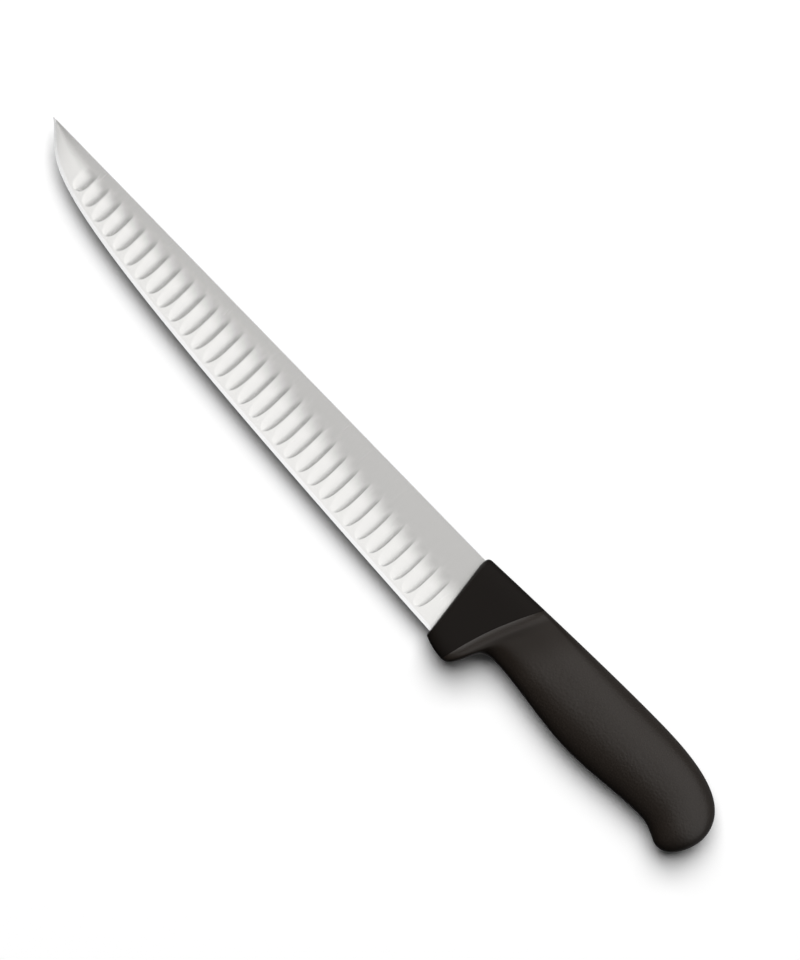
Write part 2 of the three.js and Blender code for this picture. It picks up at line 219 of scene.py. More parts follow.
# How far each stretch of the handle's outline keeps the direction of its two ends, as shares of its run
BACK_EASE = 0.7
OVER_END_EASES = (0.52, 0.85)
FINGER_EASES = (0.5, 0.62)
PALM_EASES = (0.33, 0.33)
WAIST_EASES = (0.4, 0.33)
HOOK_EASES = (0.5, 0.26)
UNDER_END_EASES = (0.6, 0.43)


def bezier(*points):
    """A row of points along the curve that those control points draw."""
    share = np.linspace(0, 1, CURVE_STEPS)[:, None]
    layers = [np.array(point, float) + 0 * share for point in points]
    while len(layers) > 1:
        layers = [a + (b - a) * share for a, b in zip(layers, layers[1:])]
    return layers[0]


def wave(start, stop, start_ease, stop_ease):
    """A curve that leaves one place along X and reaches the next along X."""
    run = stop[0] - start[0]
    return bezier(start, (start[0] + start_ease * run, start[1]), (stop[0] - stop_ease * run, stop[1]), stop)


def turn(start, stop, start_ease, stop_ease):
    """A curve that leaves one place along X and turns to reach the next along Y."""
    across = (start[0] + start_ease * (stop[0] - start[0]), start[1])
    return bezier(start, across, (stop[0], stop[1] + stop_ease * (start[1] - stop[1])), stop)


def drop_at(line, x):
    """Height of an outline, which runs towards -X, at a given X."""
    return np.interp(-x, -line[:, 0], line[:, 1])


def edge_line(blade):
    """The cutting edge, from the tip to the heel."""
    return bezier(
        (blade.length, 0),
        (blade.length - blade.point_run, blade.point_drop),
        (blade.length + blade.sweep_reach, blade.heel_height - blade.sweep_rise),
        (-blade.heel_depth, blade.heel_height),
    )


def back_line(handle):
    """The handle's back, from its front's rounded upper corner to its end."""
    front = (0, handle.corner_drop - handle.front_rise)
    shoulder = (-handle.corner_run, -handle.front_rise)
    peak = (-handle.back_place, -handle.back_rise)
    return np.vstack([
        bezier(front, (front[0], shoulder[1]), shoulder),
        bezier(shoulder, (BACK_EASE * peak[0], peak[1]), peak),
        turn(peak, (-handle.length, handle.end_drop), *OVER_END_EASES),
    ])


def belly_line(handle):
    """The handle's underside, from the front's lower corner to the end."""
    chin = (-handle.front_slant, handle.chin_drop)
    guard = (-handle.guard_place, handle.guard_drop)
    recess = (-handle.recess_place, handle.recess_drop)
    belly = (-handle.belly_place, handle.belly_drop)
    waist = (-handle.waist_place, handle.waist_drop)
    hook = (-handle.hook_place, handle.hook_drop)
    return np.vstack([
        bezier(chin, ((chin[0] + guard[0]) / 2, guard[1]), guard),
        wave(guard, recess, *FINGER_EASES),
        wave(recess, belly, *PALM_EASES),
        wave(belly, waist, *WAIST_EASES),
        wave(waist, hook, *HOOK_EASES),
        turn(hook, (-handle.length, handle.end_drop), *UNDER_END_EASES),
    ])


# Meshes

TIP_SPACING = 1.25  # sections lie closer together at the tip
TIP_SHARE = 1 / 8  # of the height, which the spine's rounding or its bare band takes at most near the tip
ROUND_SHARE = 0.293  # how far the middle of a rounded corner lies from both its sides, in radii


def skin(rings):
    """Points and faces of a closed skin over rings, which start at the back and run round the upper face
    to the belly and back along the lower face. A ring of one point is a tip."""
    starts = np.cumsum([0] + [len(ring) for ring in rings])
    around = max(len(ring) for ring in rings)
    last = len(rings) - 1

    def corner(row, k):
        return int(starts[row] + k % len(rings[row]))

    loops = []
    for row in range(last):
        for k in range(around):
            loops.append([corner(row, k), corner(row, k + 1), corner(row + 1, k + 1), corner(row + 1, k)])
    for k in range(around // 2):
        loops.append([corner(0, j) for j in (k, around - k, around - k - 1, k + 1)])
        loops.append([corner(last, j) for j in (k, k + 1, around - k - 1, around - k)])
    faces = [list(dict.fromkeys(loop)) for loop in loops]
    return np.vstack(rings), [face for face in faces if len(face) > 2]


def new_object(name, points, faces):
    """A mesh object at the origin, with its place in its mesh."""
    mesh = bpy.data.meshes.new(name)
    mesh.from_pydata(np.asarray(points).tolist(), [], faces)
    made = bpy.data.objects.new(name, mesh)
    bpy.context.scene.collection.objects.link(made)
    return made


def drawn_points(made, blade):
    """The points of a placed mesh, moved back into the drawing."""
    points = np.zeros(len(made.data.vertices) * 3, np.float32)
    made.data.vertices.foreach_get("co", points)
    return points.reshape(-1, 3) - place((0, 0, 0), blade)


def store(made, name, values):
    """Keeps a number at each point of a mesh, for its finish to read."""
    made.data.attributes.new(name, "FLOAT", "POINT").data.foreach_set("value", values.astype(np.float32))


def finish_piece(made, material, node):
    """Smooth shading with crisp corners, the finish, and the piece's place in the frame."""
    made.data.materials.clear()
    made.data.materials.append(material)
    made.data.shade_smooth()
    made.data.set_sharp_from_angle(angle=SHARP_ANGLE)
    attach(made, "root")
    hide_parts(node)


def blade_body(blade):
    """The blade without flutes: a rounded spine, crowned flanks and a bevelled edge."""
    edge = edge_line(blade)
    shares = np.linspace(0, 1, EDGE_STEPS + 1)[1:] ** TIP_SPACING
    rows = np.interp(shares, np.linspace(0, 1, CURVE_STEPS), np.arange(CURVE_STEPS))
    rings = [np.array([[blade.length, 0, 0]])]
    for row in rows:
        x, height = (np.interp(row, np.arange(CURVE_STEPS), edge[:, axis]) for axis in (0, 1))
        along = (blade.length - x) / (blade.length + blade.heel_depth)
        point = 1 - (1 - min((blade.length - x) / blade.point_taper, 1)) ** 2
        spine = point * (blade.tip_spine + (blade.heel_spine - blade.tip_spine) * along) / 2
        corner = min(blade.spine_round, height * TIP_SHARE, spine / 2)
        shoulder_y = height - min(blade.bevel, height / 2)
        shoulder = min(blade.shoulder / 2, spine)
        down = np.linspace(0, 1, FLANK_STEPS)
        swell = blade.crown * min(1, height / blade.heel_height) * 4 * down * (1 - down)
        half = [(0, spine - corner), (corner * ROUND_SHARE, spine - corner * ROUND_SHARE)]
        half += list(zip(corner + (shoulder_y - corner) * down, spine + (shoulder - spine) * down + swell))
        upper = [(x, 0, 0)] + [(x, y, z) for y, z in half] + [(x, height, 0)]
        lower = [(x, y, -z) for y, z in reversed(half)]
        rings.append(np.array(upper + lower))
    return skin(rings)


def tang_object(blade):
    """Flat tang with a rounded end and locking holes, filled and thickened from a flat curve."""
    middle = (blade.tang_top + blade.tang_bottom) / 2
    radius = (blade.tang_bottom - blade.tang_top) / 2 - blade.tang_taper
    front = -blade.heel_depth / 2
    centre = -blade.tang_length + radius
    round_end = [
        (centre - radius * math.sin(a), middle - radius * math.cos(a))
        for a in np.linspace(0, math.pi, TANG_END_STEPS + 1)
    ]
    outlines = [[(front, blade.tang_top), *round_end, (front, blade.tang_bottom)]]
    for k in range(blade.lock_holes):
        x = -blade.heel_depth + (blade.heel_depth - blade.tang_length) * (k + 0.5) / blade.lock_holes
        turns = np.linspace(0, 2 * math.pi, LOCK_HOLE_STEPS + 1)[:-1]
        outlines.append([(x + blade.lock_hole / 2 * math.cos(a), middle + blade.lock_hole / 2 * math.sin(a))
                         for a in turns])
    curve = bpy.data.curves.new("tang_outline", "CURVE")
    curve.dimensions = "2D"
    curve.fill_mode = "BOTH"
    curve.extrude = blade.heel_spine / 2
    for outline in outlines:
        spline = curve.splines.new("POLY")
        spline.points.add(len(outline) - 1)
        for point, (x, y) in zip(spline.points, outline):
            point.co = (x, y, 0, 1)
        spline.use_cyclic_u = True
    drawn = bpy.data.objects.new("tang_outline", curve)
    bpy.context.scene.collection.objects.link(drawn)
    mesh = bpy.data.meshes.new_from_object(drawn.evaluated_get(bpy.context.evaluated_depsgraph_get()))
    bpy.data.objects.remove(drawn)
    bpy.data.curves.remove(curve)
    mesh.transform(Matrix.Translation(Vector(place((0, 0, 0), blade))))
    tang = bpy.data.objects.new("tang", mesh)
    bpy.context.scene.collection.objects.link(tang)
    return tang


# Node trees


def add(tree, kind, inputs=None, **settings):
    """A new node with its settings, and its inputs set or linked."""
    node = tree.nodes.new(kind)
    for name, value in settings.items():
        setattr(node, name, value)
    for socket, value in (inputs or {}).items():
        if isinstance(value, bpy.types.NodeSocket):
            tree.links.new(value, node.inputs[socket])
        else:
            node.inputs[socket].default_value = value
    return node


FLUTE_INPUTS = {
    "Body": "NodeSocketGeometry",
    "Tang": "NodeSocketObject",
    "First": "NodeSocketFloat",
    "Pitch": "NodeSocketFloat",
    "Most": "NodeSocketInt",
    "Width": "NodeSocketFloat",
    "Heel Length": "NodeSocketFloat",
    "Length": "NodeSocketFloat",
    "Grown": "NodeSocketFloat",
    "Shortest": "NodeSocketFloat",
    "Depth": "NodeSocketFloat",
    "Squareness": "NodeSocketFloat",
    "Top Squareness": "NodeSocketFloat",
    "Above Edge": "NodeSocketFloat",
    "Highest": "NodeSocketFloat",
    "Middle": "NodeSocketFloat",
    "Steel": "NodeSocketMaterial",
}
RAY_START = 0.2  # well clear of the blade
OFF_MIDDLE = 0.05 * MM  # rays at the edge run beside the sharp line, not along it
DISH_PAST = 1.08  # the dish runs on past its rim, so that the cut is clean
RUN_OUT_END = -0.2  # where the trough reaches its full depth: -1 is its top and 1 its bottom
LEAST_SPAN = 0.05  # half width at which the trough's end closes
SLIVER = 0.01 * MM  # faces thinner than this are left over from the cutting
DISH_SEGMENTS = 48
DISH_RINGS = 24


def dish(tree, given, side):
    """A shallow trough of depth 1, as a grinding wheel leaves it, closed above its squared-off rim. It runs
    out towards the spine, and its walls stay steep towards the edge."""
    ball = add(tree, "GeometryNodeMeshUVSphere",
               {"Segments": DISH_SEGMENTS, "Rings": DISH_RINGS, "Radius": DISH_PAST}).outputs["Mesh"]
    spot = add(tree, "GeometryNodeInputPosition").outputs[0]
    parts = add(tree, "ShaderNodeSeparateXYZ", {0: spot}).outputs
    flat = add(tree, "ShaderNodeCombineXYZ", {0: parts["X"], 1: parts["Y"]}).outputs[0]
    radius = add(tree, "ShaderNodeVectorMath", {0: flat}, operation="LENGTH").outputs["Value"]
    lower = add(tree, "FunctionNodeCompare", {0: parts["Y"], 1: 0.0},
                operation="GREATER_THAN" if side > 0 else "LESS_THAN").outputs[0]
    squareness = add(tree, "GeometryNodeSwitch",
                     {"Switch": lower, "False": given["Top Squareness"], "True": given["Squareness"]},
                     input_type="FLOAT").outputs[0]
    powers = []
    for axis in ("X", "Y"):
        size = add(tree, "ShaderNodeMath", {0: parts[axis]}, operation="ABSOLUTE").outputs[0]
        powers.append(add(tree, "ShaderNodeMath", {0: size, 1: squareness}, operation="POWER").outputs[0])
    total = add(tree, "ShaderNodeMath", {0: powers[0], 1: powers[1]}).outputs[0]
    root = add(tree, "ShaderNodeMath", {0: 1.0, 1: squareness}, operation="DIVIDE").outputs[0]
    square = add(tree, "ShaderNodeMath", {0: total, 1: root}, operation="POWER").outputs[0]
    grow = add(tree, "ShaderNodeMath", {0: radius, 1: square}, operation="DIVIDE").outputs[0]
    rim = add(tree, "ShaderNodeVectorMath", {0: flat, "Scale": grow}, operation="SCALE").outputs[0]
    across = add(tree, "ShaderNodeSeparateXYZ", {0: rim}).outputs
    down = add(tree, "ShaderNodeMath", {0: across["Y"]}, operation="ABSOLUTE").outputs[0]
    used = add(tree, "ShaderNodeMath", {0: down, 1: squareness}, operation="POWER").outputs[0]
    rest = add(tree, "ShaderNodeMath", {0: 1.0, 1: used}, operation="SUBTRACT", use_clamp=True).outputs[0]
    reach = add(tree, "ShaderNodeMath", {0: rest, 1: root}, operation="POWER").outputs[0]
    span = add(tree, "ShaderNodeMath", {0: reach, 1: LEAST_SPAN}, operation="MAXIMUM").outputs[0]
    wall = add(tree, "ShaderNodeMath", {0: across["X"], 1: across["X"]}, operation="MULTIPLY").outputs[0]
    even = add(tree, "ShaderNodeMath", {0: wall, 1: span}, operation="DIVIDE").outputs[0]
    trough = add(tree, "ShaderNodeMath", {0: even, 1: span}, operation="SUBTRACT").outputs[0]
    run_out = add(tree, "ShaderNodeMapRange", {"Value": across["Y"], "From Min": float(-side),
                                               "From Max": side * RUN_OUT_END},
                  interpolation_type="SMOOTHSTEP").outputs[0]
    hollow = add(tree, "ShaderNodeMath", {0: trough, 1: run_out}, operation="MULTIPLY").outputs[0]
    past = add(tree, "ShaderNodeMath", {0: radius, 1: radius, 2: -1.0}, operation="MULTIPLY_ADD").outputs[0]
    inside = add(tree, "FunctionNodeCompare", {0: radius, 1: 1.0}, operation="LESS_THAN").outputs[0]
    bowl = add(tree, "GeometryNodeSwitch", {"Switch": inside, "False": past, "True": hollow},
               input_type="FLOAT").outputs[0]
    lid = add(tree, "ShaderNodeMath", {0: parts["Z"], 1: DISH_PAST ** 2 - 1}).outputs[0]
    below = add(tree, "FunctionNodeCompare", {0: parts["Z"], 1: 0.0}, operation="LESS_THAN").outputs[0]
    height = add(tree, "GeometryNodeSwitch", {"Switch": below, "False": lid, "True": bowl},
                 input_type="FLOAT").outputs[0]
    rise = add(tree, "ShaderNodeCombineXYZ", {2: height}).outputs[0]
    shaped = add(tree, "ShaderNodeVectorMath", {0: rim, 1: rise}).outputs[0]
    return add(tree, "GeometryNodeSetPosition", {"Geometry": ball, "Position": shaped}).outputs[0]


def flute_row(tree, given, steel, cutter, side):
    """Cutters for one face: side is 1 for the upper face and -1 for the lower one, whose flutes lie
    between those of the upper face. A ray finds the edge below each flute, and another the flank."""
    offset = 0.0 if side > 0 else 0.5
    first = add(tree, "ShaderNodeMath", {0: given["Pitch"], 1: offset, 2: given["First"]},
                operation="MULTIPLY_ADD").outputs[0]
    beside = add(tree, "ShaderNodeMath", {0: given["Middle"], 1: OFF_MIDDLE}).outputs[0]
    start = add(tree, "ShaderNodeCombineXYZ", {0: first, 1: RAY_START, 2: beside}).outputs[0]
    step = add(tree, "ShaderNodeCombineXYZ", {0: given["Pitch"]}).outputs[0]
    row = add(tree, "GeometryNodeMeshLine",
              {"Count": given["Most"], "Start Location": start, "Offset": step}, mode="OFFSET").outputs[0]
    edge = add(tree, "GeometryNodeRaycast", {"Target Geometry": steel, "Ray Direction": (0, -1, 0),
                                             "Ray Length": 2 * RAY_START}).outputs
    edge_y = add(tree, "ShaderNodeSeparateXYZ", {0: edge["Hit Position"]}).outputs["Y"]
    bottom = add(tree, "ShaderNodeMath", {0: edge_y, 1: given["Above Edge"]},
                 operation="SUBTRACT").outputs[0]
    spot = add(tree, "GeometryNodeInputPosition").outputs[0]
    along = add(tree, "ShaderNodeSeparateXYZ", {0: spot}).outputs["X"]
    full = add(tree, "ShaderNodeMapRange", {"Value": along, "From Min": given["First"],
                                            "From Max": given["Grown"], "To Min": given["Heel Length"],
                                            "To Max": given["Length"]}).outputs[0]
    reach = add(tree, "ShaderNodeMath", {0: bottom, 1: full}, operation="SUBTRACT").outputs[0]
    top = add(tree, "ShaderNodeMath", {0: reach, 1: given["Highest"]}, operation="MAXIMUM").outputs[0]
    left = add(tree, "ShaderNodeMath", {0: bottom, 1: top}, operation="SUBTRACT").outputs[0]
    room = add(tree, "ShaderNodeMath", {0: left, 1: edge["Is Hit"]}, operation="MULTIPLY").outputs[0]
    short = add(tree, "FunctionNodeCompare", {0: room, 1: given["Shortest"]},
                operation="LESS_THAN").outputs[0]
    row = add(tree, "GeometryNodeDeleteGeometry", {"Geometry": row, "Selection": short}).outputs[0]
    row = add(tree, "GeometryNodeStoreNamedAttribute", {"Geometry": row, "Name": "room", "Value": room},
              data_type="FLOAT").outputs[0]
    centre = add(tree, "ShaderNodeMath", {0: left, 1: -0.5, 2: bottom}, operation="MULTIPLY_ADD").outputs[0]
    over = add(tree, "ShaderNodeMath", {0: given["Middle"], 1: side * RAY_START}).outputs[0]
    above = add(tree, "ShaderNodeCombineXYZ", {0: along, 1: centre, 2: over}).outputs[0]
    row = add(tree, "GeometryNodeSetPosition", {"Geometry": row, "Position": above}).outputs[0]
    flank = add(tree, "GeometryNodeRaycast", {"Target Geometry": steel, "Ray Direction": (0, 0, -side),
                                              "Ray Length": 2 * RAY_START}).outputs
    row = add(tree, "GeometryNodeStoreNamedAttribute",
              {"Geometry": row, "Name": "out", "Value": flank["Hit Normal"]},
              data_type="FLOAT_VECTOR").outputs[0]
    row = add(tree, "GeometryNodeSetPosition",
              {"Geometry": row, "Position": flank["Hit Position"]}).outputs[0]
    out = add(tree, "GeometryNodeInputNamedAttribute", {"Name": "out"}, data_type="FLOAT_VECTOR").outputs[0]
    lean = add(tree, "FunctionNodeAlignRotationToVector", {"Vector": out},
               axis="Z", pivot_axis="X").outputs[0]
    kept = add(tree, "GeometryNodeInputNamedAttribute", {"Name": "room"}, data_type="FLOAT").outputs[0]
    half_width = add(tree, "ShaderNodeMath", {0: given["Width"], 1: 0.5}, operation="MULTIPLY").outputs[0]
    half_length = add(tree, "ShaderNodeMath", {0: kept, 1: 0.5}, operation="MULTIPLY").outputs[0]
    share = add(tree, "ShaderNodeMath", {0: kept, 1: given["Length"]}, operation="DIVIDE").outputs[0]
    shallow = add(tree, "ShaderNodeMath", {0: share}, operation="SQRT").outputs[0]
    depth = add(tree, "ShaderNodeMath", {0: shallow, 1: given["Depth"]}, operation="MULTIPLY").outputs[0]
    scale = add(tree, "ShaderNodeCombineXYZ", {0: half_width, 1: half_length, 2: depth}).outputs[0]
    return add(tree, "GeometryNodeInstanceOnPoints",
               {"Points": row, "Instance": cutter, "Rotation": lean, "Scale": scale}).outputs[0]


def flute_tree():
    """Joins the tang to the blade and grinds the flutes into both flanks."""
    tree = bpy.data.node_groups.new("ground_flutes", "GeometryNodeTree")
    tree.interface.new_socket("Geometry", in_out="OUTPUT", socket_type="NodeSocketGeometry")
    for name, kind in FLUTE_INPUTS.items():
        tree.interface.new_socket(name, in_out="INPUT", socket_type=kind)
    given = add(tree, "NodeGroupInput").outputs
    tang = add(tree, "GeometryNodeObjectInfo", {"Object": given["Tang"]}).outputs["Geometry"]
    whole = add(tree, "GeometryNodeMeshBoolean", {1: given["Body"]}, operation="UNION", solver="EXACT")
    tree.links.new(tang, whole.inputs[1])
    rows = add(tree, "GeometryNodeJoinGeometry")
    for side in (1, -1):
        cutter = dish(tree, given, side)
        tree.links.new(flute_row(tree, given, given["Body"], cutter, side), rows.inputs[0])
    ground = add(tree, "GeometryNodeMeshBoolean", {0: whole.outputs[0], 1: rows.outputs[0]},
                 operation="DIFFERENCE", solver="EXACT").outputs[0]
    real = add(tree, "GeometryNodeRealizeInstances", {0: ground}).outputs[0]
    steel = add(tree, "GeometryNodeSetMaterial", {"Geometry": real, "Material": given["Steel"]}).outputs[0]
    add(tree, "NodeGroupOutput", {0: steel})
    return tree


def dissolve_slivers(mesh):
    """Takes out the needle-thin faces that the cutting leaves."""
    work = bmesh.new()
    work.from_mesh(mesh)
    bmesh.ops.dissolve_degenerate(work, dist=SLIVER, edges=work.edges)
    work.to_mesh(mesh)
    work.free()


def grind_flutes(made, blade, flutes, material):
    """Runs the flute tree on the blade and keeps its result as a plain mesh."""
    tang = tang_object(blade)
    origin = place((0, 0, 0), blade)
    values = {
        "Tang": tang,
        "First": origin[0] + flutes.first,
        "Pitch": flutes.pitch,
        "Most": int(blade.length / flutes.pitch) + 1,
        "Width": flutes.width,
        "Heel Length": flutes.heel_length,
        "Length": flutes.length,
        "Grown": origin[0] + blade.length / 2,
        "Shortest": flutes.shortest,
        "Depth": flutes.depth,
        "Squareness": flutes.squareness,
        "Top Squareness": flutes.top_squareness,
        "Above Edge": flutes.above_edge,
        "Highest": origin[1] + flutes.below_spine,
        "Middle": origin[2],
        "Steel": material,
    }
    tree = flute_tree()
    modifier = made.modifiers.new("flutes", "NODES")
    modifier.node_group = tree
    for item in tree.interface.items_tree:
        if item.in_out == "INPUT" and item.name in values:
            modifier[item.identifier] = values[item.name]
    graph = bpy.context.evaluated_depsgraph_get()
    mesh = bpy.data.meshes.new_from_object(made.evaluated_get(graph))
    dissolve_slivers(mesh)
    made.modifiers.clear()
    plain = made.data
    made.data = mesh
    mesh.name = made.name
    bpy.data.meshes.remove(plain)
    bpy.data.objects.remove(tang)


def mark_painted_light_shares(made, blade, flutes):
    """Stores how far each point lies down the flutes, from 0 at their tops to 1 at their bottoms, and how
    far it lies from there to the edge, which is 1. The steel's painted shade and highlight follow these
    shares."""
    points = drawn_points(made, blade)
    height = drop_at(edge_line(blade), points[:, 0])
    bottom = height - flutes.above_edge
    grown = np.clip(points[:, 0] / (blade.length / 2), 0, 1)
    full = flutes.heel_length + (flutes.length - flutes.heel_length) * grown
    top = np.maximum(bottom - full, np.minimum(flutes.below_spine, height * TIP_SHARE))
    store(made, "grind", (points[:, 1] - top) / np.maximum(bottom - top, flutes.above_edge))
    store(made, "hone", (points[:, 1] - bottom) / flutes.above_edge)


# Handle sections

CHEEK_FULLNESS = 6  # 2 is an ellipse, and more is squarer
NECK_FULLNESS = 3.2
GRIP_FULLNESS = 2.2
MIDWAY = 0.5
GRIP_WIDEST = 0.42  # share of the height at which the grip is thickest, from the back
NECK_WIDEST = (MIDWAY + GRIP_WIDEST) / 2
END_FULLNESS = 0.6  # how bluntly the thickness closes at the end
CORE_SHARE = 3 / 4  # the core reaches the waist, which is the fourth of the five stations
LIP_EASE = 1.5  # how softly the lip rounds off at its crest
LIP_SPACING = 1.6  # sections lie closer together at the lip
FRONT_RINGS = 8
CHEEK_RINGS = 60
GRIP_RINGS = 220
CORE_RINGS = 40
END_RINGS = 36


def through(stations, share):
    """A point on the smooth curve through evenly spaced stations."""
    stations = np.asarray(stations, float)
    ends = [2 * stations[0] - stations[1]], [2 * stations[-1] - stations[-2]]
    knots = np.vstack([ends[0], stations, ends[1]])
    spans = len(stations) - 1
    span = min(int(share * spans), spans - 1)
    t = share * spans - span
    a, b, c, d = knots[span:span + 4]
    return b + t * ((c - a) + t * ((2 * a - 5 * b + 4 * c - d) + t * (3 * b - a - 3 * c + d))) / 2


def section(back, under, bow, half, fullness, widest, inset=0.0):
    """One closed section between its back and belly points, drawn in by an inset."""
    back, under = np.array(back), np.array(under)
    down = (under - back) / np.linalg.norm(under - back)
    top, bottom = back + down * inset, under - down * inset
    share = (1 - np.cos(np.linspace(0, math.pi, FACE_STEPS + 1))) / 2
    reach = np.where(share < widest, 1 - share / widest, (share - widest) / (1 - widest))
    z = (half - inset) * np.clip(1 - reach ** fullness, 0, None) ** (1 / fullness)
    flat = top + (bottom - top) * share[:, None]
    x = flat[:, 0] + 4 * bow * share * (1 - share)
    upper = np.column_stack([x, flat[:, 1], z])
    lower = upper[-2:0:-1] * (1, 1, -1)
    return np.vstack([upper, lower])


class HandleForm:
    """The handle's outlines and the sections along them."""

    def __init__(self, handle):
        self.size = handle
        self.back = back_line(handle)
        self.belly = belly_line(handle)
        neck_place = handle.crease_place + handle.recess_place - handle.guard_place
        self.places = [
            (-handle.crease_place, -handle.guard_place, handle.crease_bow),
            (-neck_place, -handle.recess_place, handle.crease_bow / 2),
            (-handle.belly_place, -handle.belly_place, 0),
            (-handle.waist_place, -handle.waist_place, 0),
            (-handle.hook_place, -handle.hook_place, 0),
        ]
        self.shapes = [
            (handle.lip / 2, CHEEK_FULLNESS, MIDWAY),
            (handle.neck / 2, NECK_FULLNESS, NECK_WIDEST),
            (handle.grip / 2, GRIP_FULLNESS, GRIP_WIDEST),
            ((handle.grip + handle.end) / 4, GRIP_FULLNESS, GRIP_WIDEST),
            (handle.end / 2, GRIP_FULLNESS, NECK_WIDEST),
        ]

    def on_back(self, x):
        """The back's point at a given X."""
        return (x, drop_at(self.back, x))

    def on_belly(self, x):
        """The underside's point at a given X."""
        return (x, drop_at(self.belly, x))

    def cheek(self, share, inset=0.0):
        """Section at a share of the way from the handle's front to the crease."""
        size = self.size
        belly_x = -size.front_slant + (size.front_slant - size.guard_place) * share
        return section(self.on_back(-size.crease_place * share), self.on_belly(belly_x),
                       size.crease_bow * share, size.cheek / 2, CHEEK_FULLNESS, MIDWAY, inset)

    def grip(self, share, inset=0.0, gap=0.0, lip=False):
        """Section at a share of the way from the crease to the hook, moved back by a gap."""
        size = self.size
        back_x, belly_x, bow = through(self.places, share)
        half, fullness, widest = through(self.shapes, share)
        if lip:
            behind = (-size.crease_place - back_x - size.guard_place - belly_x) / 2
            rise = min(behind / size.lip_width, 1)
            half -= (size.lip / 2 - size.cheek / 2 - size.lip_proud) * (1 - rise) ** LIP_EASE
        return section(self.on_back(back_x - gap), self.on_belly(belly_x - gap), bow,
                       min(half, size.grip / 2), fullness, widest, inset)

    def hook(self, angle):
        """Section of the rounded end: the angle runs from 0 at the hook to a quarter turn at the end."""
        size = self.size
        x = -size.hook_place + (size.hook_place - size.length) * math.sin(angle)
        half = size.end / 2 * math.cos(angle) ** END_FULLNESS
        return section(self.on_back(x), self.on_belly(x), 0, half, GRIP_FULLNESS, NECK_WIDEST)

    def shares(self, count, last):
        """Shares of the way from the crease to the hook, closer together at the lip."""
        return last * np.linspace(0, 1, count + 1) ** LIP_SPACING

    def core_rings(self):
        """The collar with its cheeks and guard, then the bar that runs on inside the grip."""
        size = self.size
        rings = []
        for angle in np.linspace(0, math.pi / 2, FRONT_RINGS):
            share = size.front_round * (1 - math.cos(angle)) / size.crease_place
            rings.append(self.cheek(share, size.front_round * (1 - math.sin(angle))))
        rim = size.front_round / size.crease_place
        for step in np.linspace(0, 1, CHEEK_RINGS)[1:]:
            rings.append(self.cheek(rim + (1 - rim) * step ** LIP_SPACING))
        return rings + [self.grip(share, inset=size.wall) for share in self.shares(CORE_RINGS, CORE_SHARE)]

    def grip_rings(self):
        """The hollow that the core fills, from its end to the crease, then the outside to the end."""
        size = self.size
        rings = []
        for share in reversed(self.shares(CORE_RINGS, CORE_SHARE)):
            rings.append(self.grip(share, inset=size.wall - size.seam, gap=size.seam))
        for share in self.shares(GRIP_RINGS, 1):
            rings.append(self.grip(share, gap=size.seam * (1 - share), lip=True))
        for angle in np.linspace(0, math.pi / 2, END_RINGS + 1)[1:-1]:
            rings.append(self.hook(angle))
        return rings + [np.array([[-size.length, size.end_drop, 0]])]


def mark_grain(made, blade, form):
    """Stores how far each point of the grip lies behind the crease, in metres."""
    size = form.size
    points = drawn_points(made, blade)
    start = drop_at(form.back, -size.crease_place)
    share = np.clip((points[:, 1] - start) / (size.guard_drop - start), 0, 1)
    crease = -size.crease_place + (size.crease_place - size.guard_place) * share
    store(made, "behind", crease + 4 * size.crease_bow * share * (1 - share) - points[:, 0])


# Materials


def new_material(name):
    """A material with an empty tree, its shader and its Object coordinates."""
    material = bpy.data.materials.new(name)
    material.use_nodes = True
    tree = material.node_tree
    tree.nodes.clear()
    shader = add(tree, "ShaderNodeBsdfPrincipled")
    add(tree, "ShaderNodeOutputMaterial", {"Surface": shader.outputs[0]})
    spot = add(tree, "ShaderNodeTexCoord").outputs["Object"]
    return material, tree, shader, spot


GRIND_SPACING = 0.4 * MM  # the real lines are finer, and are drawn this coarse so that they show
GRIND_STROKE = 9 * MM
GRIND_RELIEF = 0.01 * MM
GRIND_STREAK = 0.07  # how far a line shifts the painted shade between the spine's and the edge's steel colours
SPINE_SHADE_ABOVE = -0.04  # shares of the way down the flutes, between which the spine's painted shade ends
SPINE_SHADE_BELOW = 0.52
EDGE_HIGHLIGHT_ABOVE = -0.3  # shares of the way from the flutes to the edge, between which the bevel's painted highlight begins
EDGE_HIGHLIGHT_BELOW = 0.4
STEEL_ROUGHNESS = {"To Min": 0.2, "To Max": 0.3}
CORE_GRAIN = 0.5 * MM
CORE_RELIEF = 0.02 * MM
CORE_ROUGHNESS = {"To Min": 0.4, "To Max": 0.52}
GRIP_GRAIN = 1.1 * MM
GRIP_RELIEF = 0.1 * MM
GRIP_MOTTLE = 9 * MM
GRIP_ROUGHNESS = {"To Min": 0.36, "To Max": 0.48}
GRIP_GLOSS = 0.5
GRIP_BUMP = 0.7
NECK_ROUGHNESS = 0.32
NECK_GLOSS = 0.24
NECK_BUMP = 0.1
PAPER_FIBRE = 0.5 * MM
PAPER_RELIEF = 0.02 * MM
LIP_SHINE = 1.5 * MM  # behind the crease: the rubbed lip, the dull smooth neck, then the grain
LIP_DULL = 6 * MM
GRAIN_START = 11 * MM
GRAIN_FULL = 27 * MM


